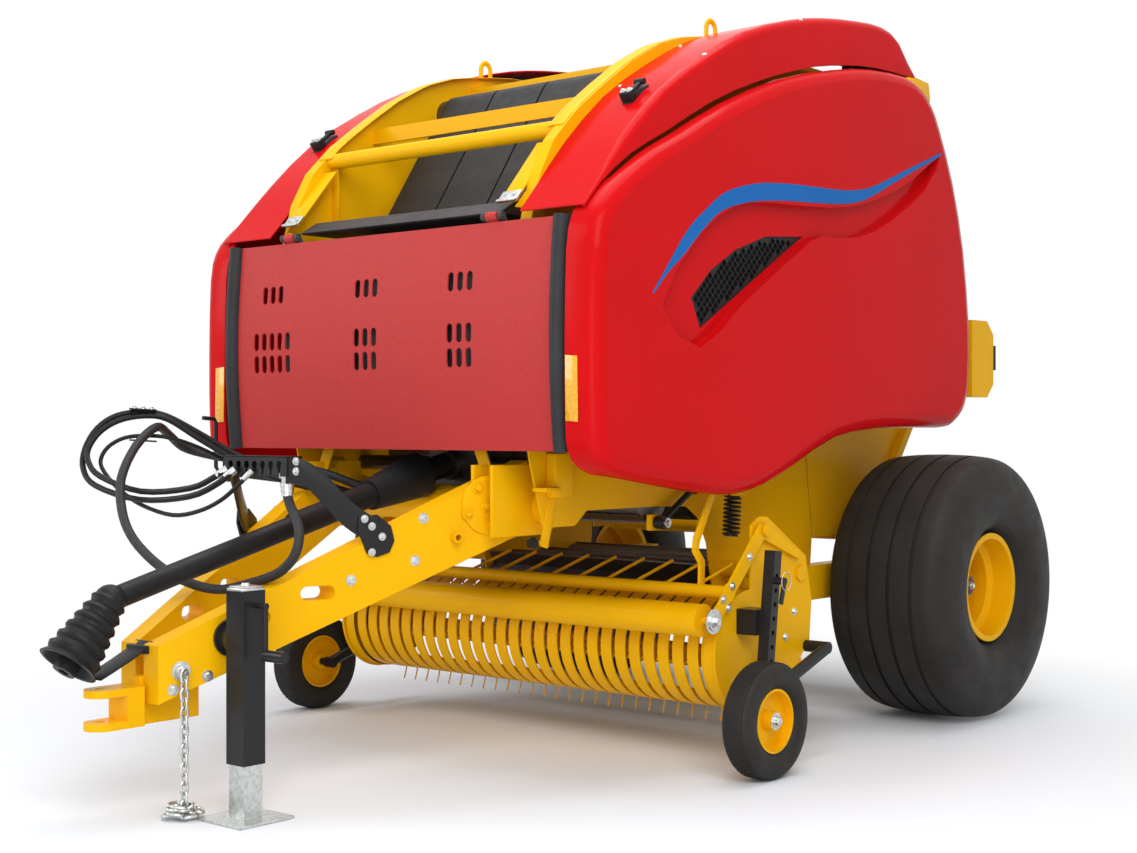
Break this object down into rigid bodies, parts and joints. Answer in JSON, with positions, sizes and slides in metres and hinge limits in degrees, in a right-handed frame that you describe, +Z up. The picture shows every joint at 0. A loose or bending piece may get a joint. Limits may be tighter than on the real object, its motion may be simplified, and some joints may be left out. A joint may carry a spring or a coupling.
{
  "type": "round baler",
  "caption": "Towed round baler with a belt chamber, banded tine pickup on gauge wheels, red hinged side shields, lifting tailgate, yellow drawbar and a parking jack.",
  "frame": {"origin": "middle of the footprint's bounding box, on the ground", "axes": "-Y to the front (drawbar), +X to the machine's left, +Z up"},
  "size_m": [2.5014, 4.27, 2.835],
  "materials": {
    "yellow_paint": "gloss",
    "red_paint": "gloss",
    "black_paint": "satin",
    "black_plastic": "satin",
    "black_rubber": "matte",
    "tyre_rubber": "matte",
    "zinc": "satin",
    "dark_steel": "satin",
    "grey_sheet": "satin",
    "lamp_red": "gloss"
  },
  "bodies": {
    "chassis": {"wall_left": "yellow_paint", "wall_right": "yellow_paint", "crossmembers": "yellow_paint", "axle": "yellow_paint", "tongue_left": "yellow_paint", "tongue_right": "yellow_paint", "hitch": "yellow_paint", "jack_body": "black_paint", "hose_holder": "black_paint", "drive_shaft": "black_plastic", "drive_boots": "black_plastic", "gearbox": "dark_steel", "safety_chain": "zinc", "shoulder_left": "red_paint", "shoulder_right": "red_paint", "wrap_box": "grey_sheet", "chamber_rolls": "dark_steel", "front_belts": "black_rubber", "shield_brackets": "black_paint"},
    "feed_rotor": {"feed_rotor": "dark_steel"},
    "wheel_left": {"tyre_left": "tyre_rubber", "rim_left": "yellow_paint"},
    "wheel_right": {"tyre_right": "tyre_rubber", "rim_right": "yellow_paint"},
    "tailgate": {"tailgate_left": "yellow_paint", "tailgate_right": "yellow_paint", "tailgate_tubes": "yellow_paint", "tailgate_belts": "black_rubber", "tailgate_rollers": "dark_steel", "lamp_brackets": "yellow_paint", "tail_lenses": "lamp_red"},
    "shield_left": {"shield_left": "red_paint", "shield_rim_left": "red_paint", "grille_left": "black_plastic"},
    "shield_right": {"shield_right": "red_paint", "shield_rim_right": "red_paint", "grille_right": "black_plastic"},
    "front_panel": {"front_panel": "red_paint", "panel_seals": "black_rubber"},
    "pickup": {"pickup_plates": "yellow_paint", "pickup_tubes": "yellow_paint", "band_guard": "yellow_paint", "gauge_arms": "black_paint"},
    "tine_reel": {"tine_reel": "dark_steel"},
    "windguard": {"windguard": "yellow_paint"},
    "wind_roller": {"wind_roller": "yellow_paint"},
    "gauge_wheel_left": {"gauge_tyre_left": "tyre_rubber", "gauge_rim_left": "yellow_paint"},
    "gauge_wheel_right": {"gauge_tyre_right": "tyre_rubber", "gauge_rim_right": "yellow_paint"},
    "jack_leg": {"jack_leg": "zinc"}
  },
  "joints": [
    {"name": "main_wheel_left", "type": "hinge", "parent": "chassis", "child": "wheel_left", "pos_m": [0.978, 1.525, 0.545], "axis": [1, 0, 0], "continuous": true},
    {"name": "main_wheel_right", "type": "hinge", "parent": "chassis", "child": "wheel_right", "pos_m": [-0.978, 1.525, 0.545], "axis": [1, 0, 0], "continuous": true},
    {"name": "feed_rotor_spin", "type": "hinge", "parent": "chassis", "child": "feed_rotor", "pos_m": [0, 0.465, 0.56], "axis": [1, 0, 0], "continuous": true},
    {"name": "tailgate_lift", "type": "hinge", "parent": "chassis", "child": "tailgate", "pos_m": [0, 0.775, 2.6], "axis": [1, 0, 0], "range_deg": [0, 65]},
    {"name": "shield_left_open", "type": "hinge", "parent": "chassis", "child": "shield_left", "pos_m": [0.948, 1.115, 2.578], "axis": [0, -1, 0], "range_deg": [0, 70]},
    {"name": "shield_right_open", "type": "hinge", "parent": "chassis", "child": "shield_right", "pos_m": [-0.948, 1.115, 2.578], "axis": [0, 1, 0], "range_deg": [0, 70]},
    {"name": "front_panel_open", "type": "hinge", "parent": "chassis", "child": "front_panel", "pos_m": [0, -0.756, 1.915], "axis": [-1, 0, 0], "range_deg": [0, 70]},
    {"name": "pickup_lift", "type": "hinge", "parent": "chassis", "child": "pickup", "pos_m": [0, 0.445, 0.66], "axis": [-1, 0, 0], "range_deg": [0, 14]},
    {"name": "tine_reel_spin", "type": "hinge", "parent": "pickup", "child": "tine_reel", "pos_m": [0, 0.145, 0.355], "axis": [1, 0, 0], "continuous": true},
    {"name": "windguard_lift", "type": "hinge", "parent": "pickup", "child": "windguard", "pos_m": [0, 0.18, 0.832], "axis": [-1, 0, 0], "range_deg": [0, 12]},
    {"name": "wind_roller_spin", "type": "hinge", "parent": "windguard", "child": "wind_roller", "pos_m": [0, -0.135, 0.53], "axis": [1, 0, 0], "continuous": true},
    {"name": "gauge_wheel_left_spin", "type": "hinge", "parent": "pickup", "child": "gauge_wheel_left", "pos_m": [1.161, -0.073, 0.2], "axis": [1, 0, 0], "continuous": true},
    {"name": "gauge_wheel_right_spin", "type": "hinge", "parent": "pickup", "child": "gauge_wheel_right", "pos_m": [-1.161, -0.073, 0.2], "axis": [1, 0, 0], "continuous": true},
    {"name": "jack_leg_slide", "type": "slide", "parent": "chassis", "child": "jack_leg", "axis": [0, 0, 1], "range_m": [0, 0.12]}
  ]
}
